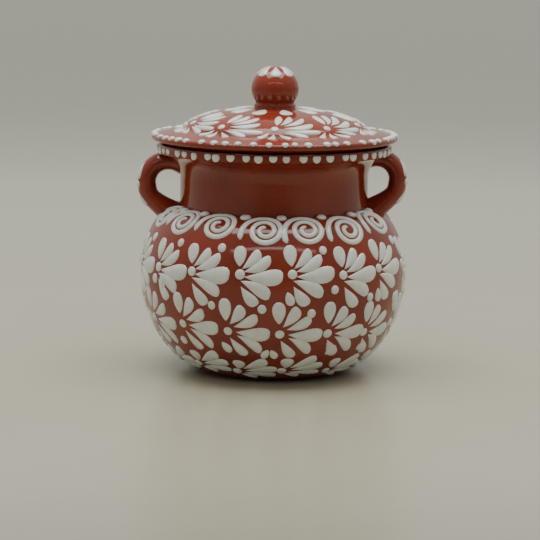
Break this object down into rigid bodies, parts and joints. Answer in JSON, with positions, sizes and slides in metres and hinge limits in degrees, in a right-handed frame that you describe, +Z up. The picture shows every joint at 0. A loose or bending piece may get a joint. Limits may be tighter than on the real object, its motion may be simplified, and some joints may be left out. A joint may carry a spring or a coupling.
{
  "type": "lidded bean pot",
  "caption": "Round-bellied glazed clay bean pot with strap handles at its sides, a flared neck, a loose domed lid with a ball knob, and trailed white slip flowers, spirals and beads",
  "frame": {"origin": "centre of the flat base, on the surface the pot stands on", "axes": "+Z up along the pot's turning axis; the two handles stand along +X and -X; +Y is a plain side between the handles"},
  "size_m": [0.2068, 0.2026, 0.2299],
  "materials": {
    "red_clay": "dark red-brown clay under a clear gloss glaze",
    "white_slip": "raised off-white slip under the same clear gloss glaze"
  },
  "bodies": {
    "pot": {"pot_body": "red_clay", "handle_right": "red_clay", "handle_left": "red_clay", "rim_beads": "white_slip", "neck_dots": "white_slip", "shoulder_spirals": "white_slip", "belly_flowers_upper": "white_slip", "belly_flowers_middle": "white_slip", "belly_flowers_lower": "white_slip", "belly_dots": "white_slip", "handle_petals": "white_slip"},
    "lid": {"lid_plate": "red_clay", "lid_knob": "red_clay", "lid_edge_beads": "white_slip", "lid_flowers": "white_slip", "lid_crown_petals": "white_slip", "knob_petals": "white_slip"}
  },
  "joints": [
    {"name": "lid_lift", "type": "slide", "parent": "pot", "child": "lid", "axis": [0, 0, 1], "range_m": [0, 0.15]}
  ]
}
